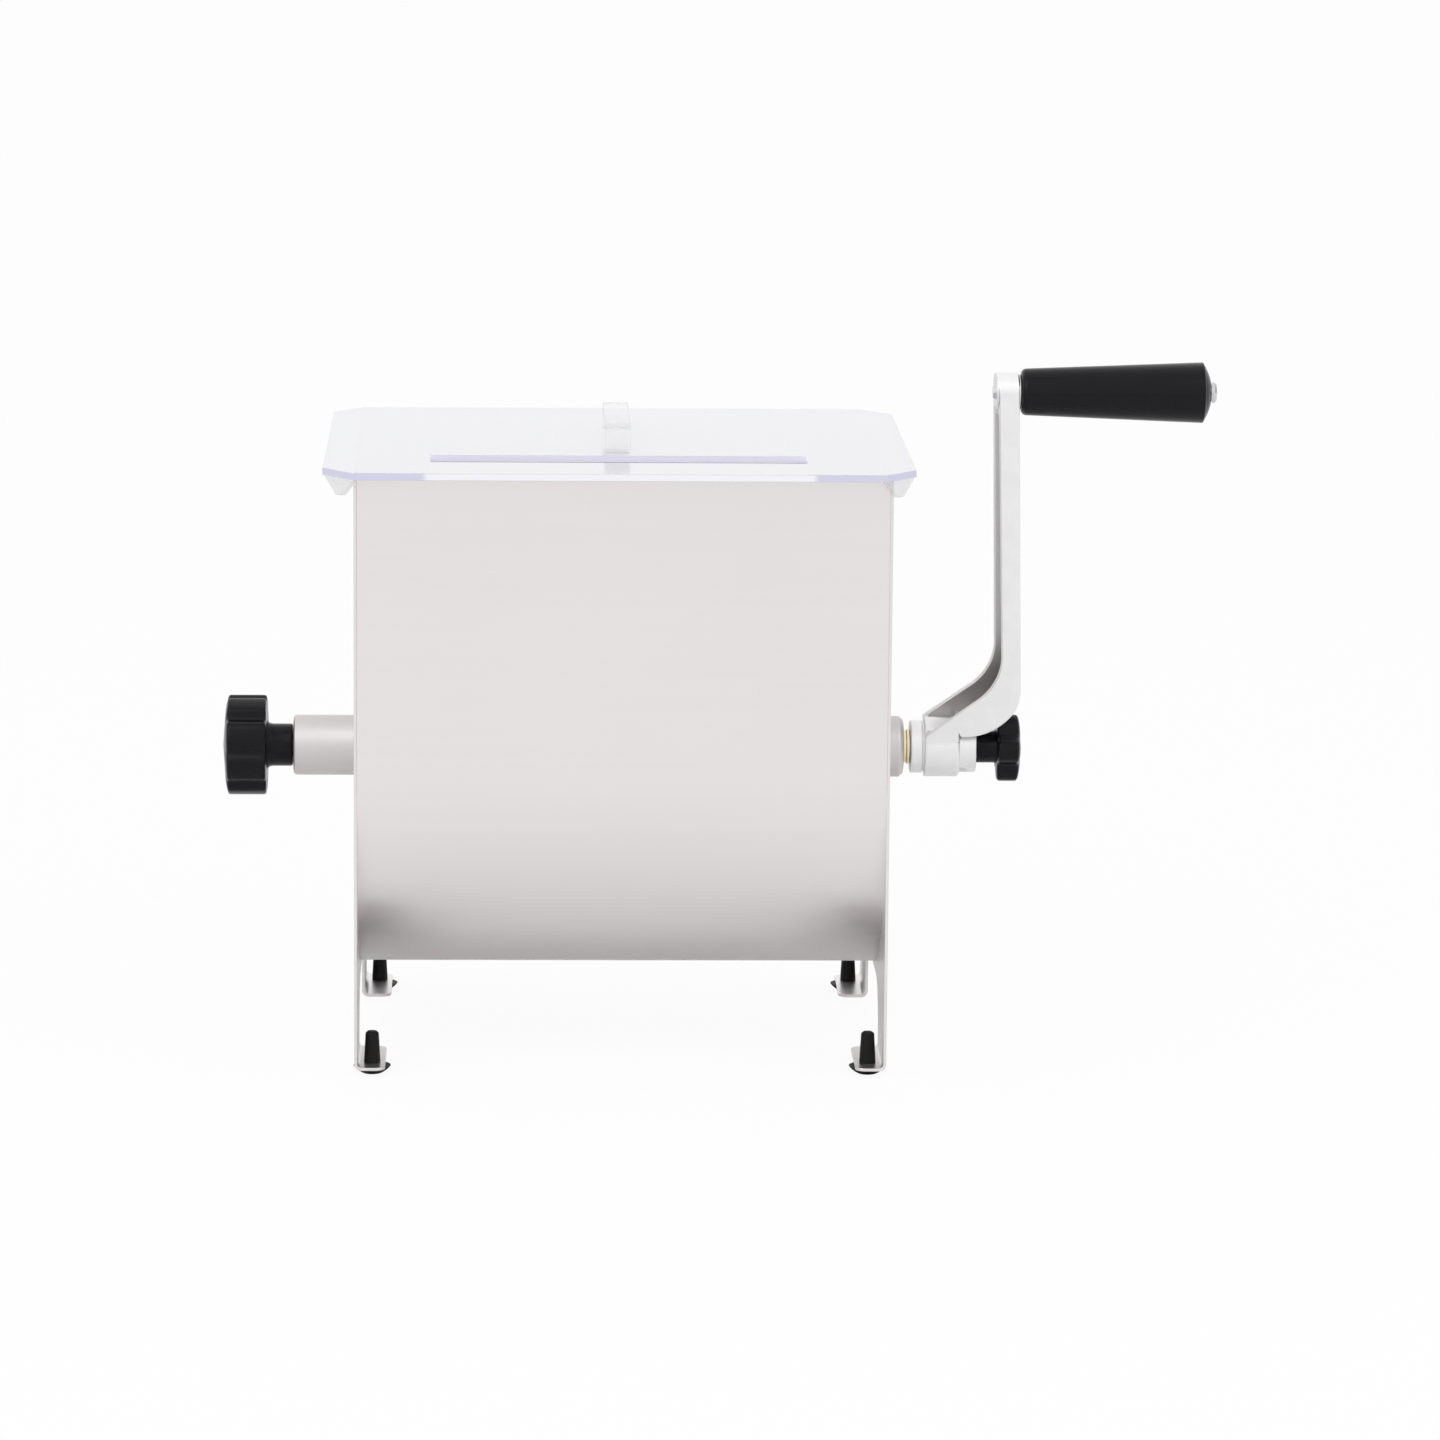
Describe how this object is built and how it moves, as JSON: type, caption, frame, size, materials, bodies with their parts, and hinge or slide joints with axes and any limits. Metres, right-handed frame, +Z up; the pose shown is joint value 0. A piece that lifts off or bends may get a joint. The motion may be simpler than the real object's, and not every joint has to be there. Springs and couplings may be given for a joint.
{
  "type": "manual meat mixer",
  "caption": "Hand-cranked meat mixer: stainless U-trough on folded legs with rubber feet, clear lid with feed slot, paddle shaft, cast crank and screw-in pivot knob.",
  "frame": {"origin": "floor under the middle of the whole mixer, knob end to grip end", "axes": "+X towards the crank, +Y from the front wall to the back wall, +Z up"},
  "size_m": [0.4898, 0.246, 0.3453],
  "materials": {
    "stainless": "satin brushed sheet",
    "brass": "turned",
    "rubber": "matte moulded",
    "clear_sheet": "clear sheet with violet edges",
    "bright_steel": "polished stainless",
    "black_plastic": "gloss moulded",
    "cast_aluminium": "fine cast"
  },
  "bodies": {
    "tank": {"trough_shell": "stainless", "end_plate_left": "stainless", "end_plate_right": "stainless", "pivot_sleeve": "stainless", "bearing_boss": "stainless", "brass_bush": "brass", "foot_front_left": "rubber", "foot_front_right": "rubber", "foot_rear_left": "rubber", "foot_rear_right": "rubber"},
    "rotor": {"drive_shaft": "bright_steel", "mixing_shaft": "bright_steel", "paddle_arm_1": "bright_steel", "paddle_arm_2": "bright_steel", "paddle_arm_3": "bright_steel", "paddle_arm_4": "bright_steel", "paddle_blade_1": "bright_steel", "paddle_blade_2": "bright_steel", "paddle_blade_3": "bright_steel", "paddle_blade_4": "bright_steel", "crank_arm": "cast_aluminium", "grip_bolt": "bright_steel"},
    "grip": {"grip": "black_plastic"},
    "lock_stud": {"lock_stud": "bright_steel"},
    "lock_knob": {"lock_knob": "black_plastic"},
    "pivot_pin": {"pivot_pin": "bright_steel"},
    "pivot_knob": {"pivot_knob": "black_plastic"},
    "lid": {"lid_sheet": "clear_sheet", "lid_handle": "clear_sheet"}
  },
  "joints": [
    {"name": "crank_turn", "type": "hinge", "parent": "tank", "child": "rotor", "pos_m": [0, 0, 0.146], "axis": [1, 0, 0], "continuous": true},
    {"name": "grip_spin", "type": "hinge", "parent": "rotor", "child": "grip", "pos_m": [0.2, -0.03919, 0.33038], "axis": [1, 0, 0], "continuous": true},
    {"name": "lock_stud_slide", "type": "slide", "parent": "rotor", "child": "lock_stud", "axis": [1, 0, 0], "range_m": [0, 0.01]},
    {"name": "lock_knob_turn", "type": "hinge", "parent": "lock_stud", "child": "lock_knob", "pos_m": [0.147, 0, 0.146], "axis": [1, 0, 0], "range_deg": [0, 3600]},
    {"name": "pivot_pin_slide", "type": "slide", "parent": "tank", "child": "pivot_pin", "axis": [-1, 0, 0], "range_m": [0, 0.014]},
    {"name": "pivot_knob_turn", "type": "hinge", "parent": "pivot_pin", "child": "pivot_knob", "pos_m": [-0.235, 0, 0.146], "axis": [-1, 0, 0], "range_deg": [0, 2520]},
    {"name": "lid_lift", "type": "slide", "parent": "tank", "child": "lid", "axis": [0, 0, 1], "range_m": [0, 0.12]}
  ],
  "couplings": [
    {"joint": "lock_stud_slide", "follows": "lock_knob_turn", "m_per_rad": 0.00015915},
    {"joint": "pivot_pin_slide", "follows": "pivot_knob_turn", "m_per_rad": 0.00031831}
  ]
}
